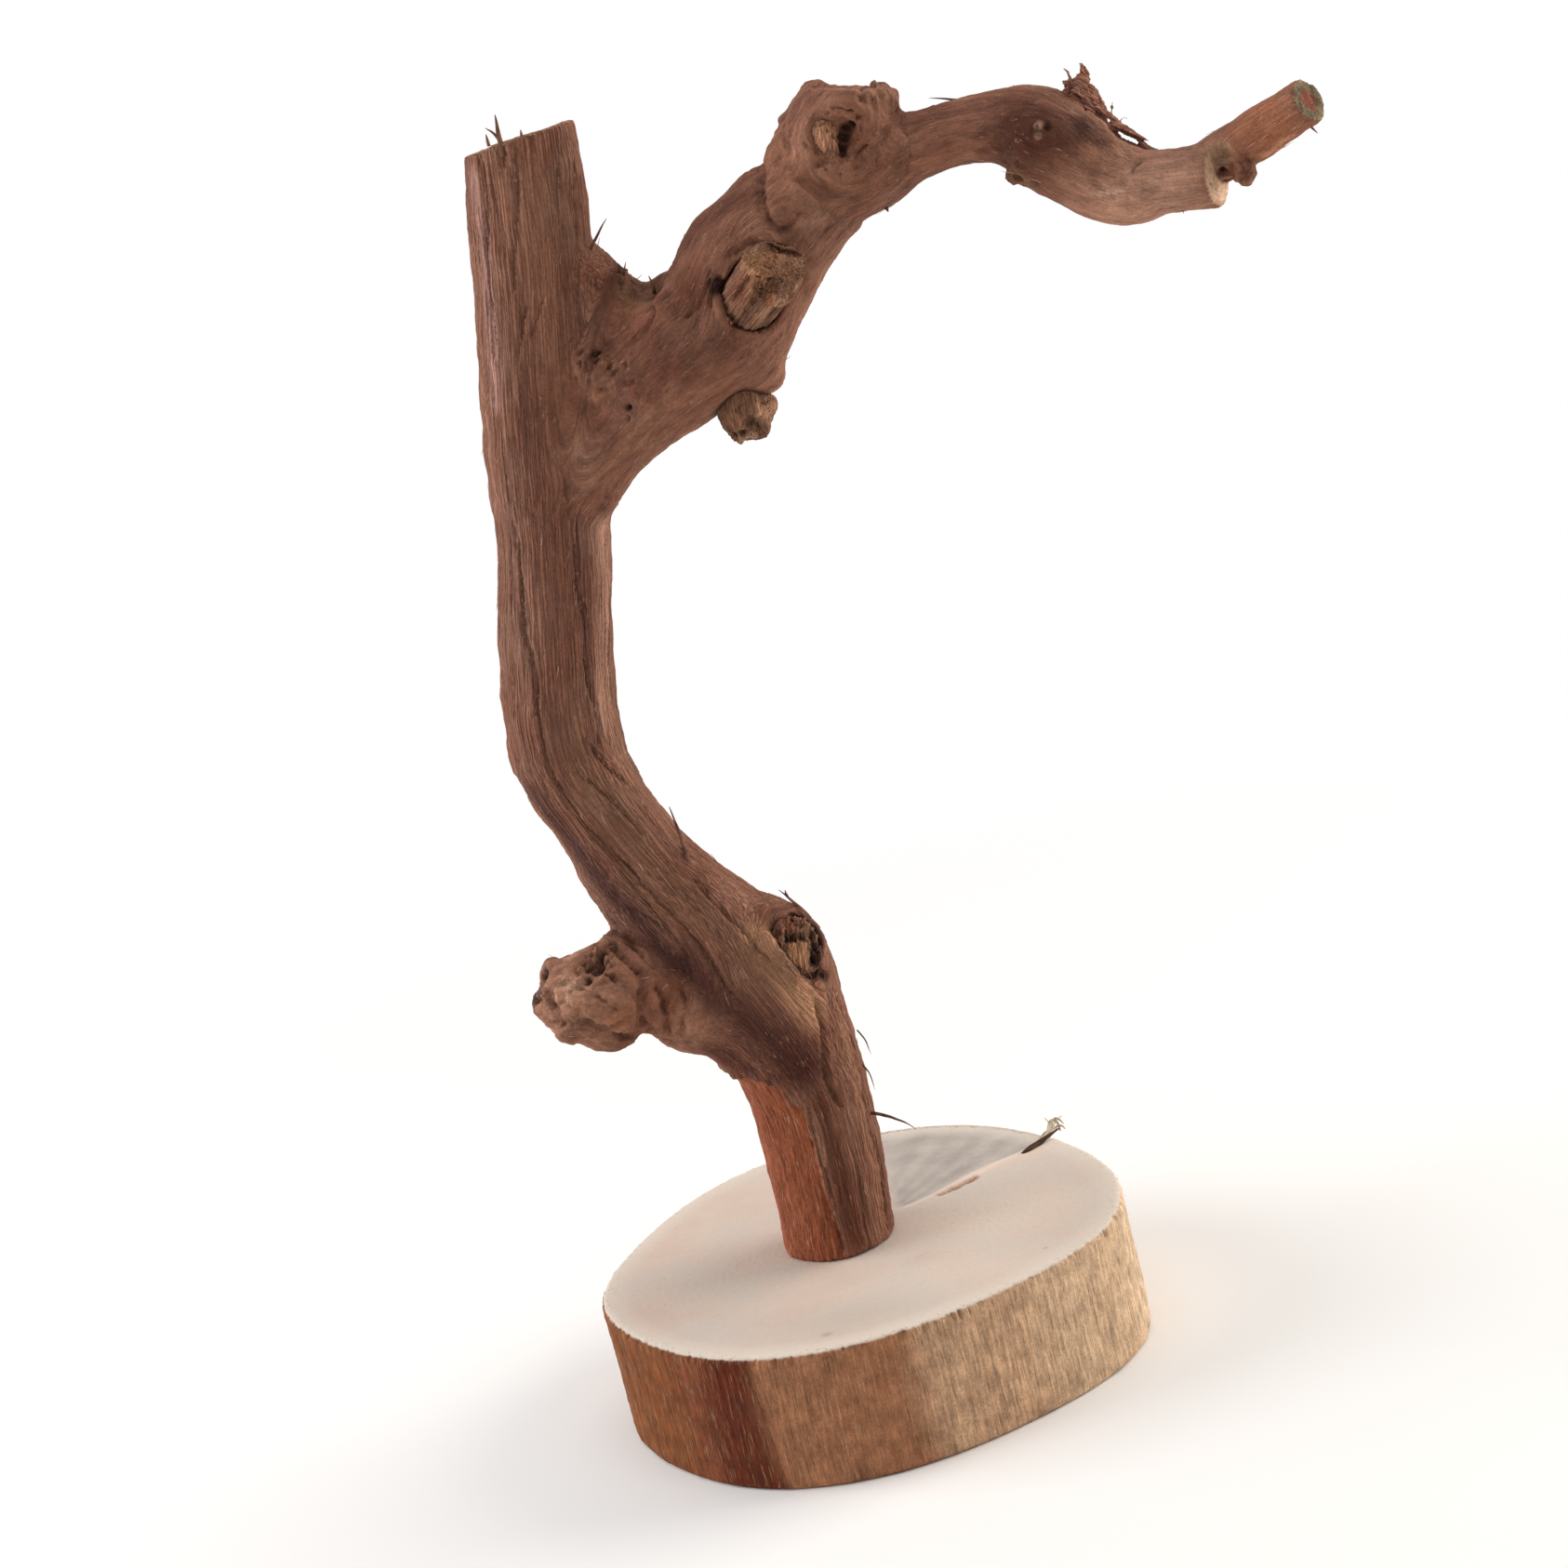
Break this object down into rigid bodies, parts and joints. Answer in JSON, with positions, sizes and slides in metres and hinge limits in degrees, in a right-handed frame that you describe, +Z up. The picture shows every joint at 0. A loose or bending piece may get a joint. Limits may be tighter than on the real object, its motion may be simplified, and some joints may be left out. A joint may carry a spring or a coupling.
{
  "type": "bird perch stand",
  "caption": "Free-standing bird perch: a forked, knotted vine branch with a long side arm, screwed upright to a round slice of log.",
  "frame": {"origin": "middle of the log slice's underside", "axes": "+Z up, +X towards the long perch arm, -Y towards the front"},
  "size_m": [0.1954, 0.1132, 0.2745],
  "materials": {
    "slice_wood": "sanded, uncoated",
    "branch_wood": "peeled and striated, uncoated",
    "dead_wood": "weathered, uncoated",
    "bark": "fibrous, uncoated",
    "screw_steel": "zinc plated"
  },
  "bodies": {
    "root": {"base_slice": "slice_wood", "branch": "branch_wood", "arm_stub": "dead_wood", "under_nub": "dead_wood", "lower_knot": "dead_wood", "upper_knot": "dead_wood", "bark_flap": "bark", "fixing_screws": "screw_steel"}
  },
  "joints": []
}
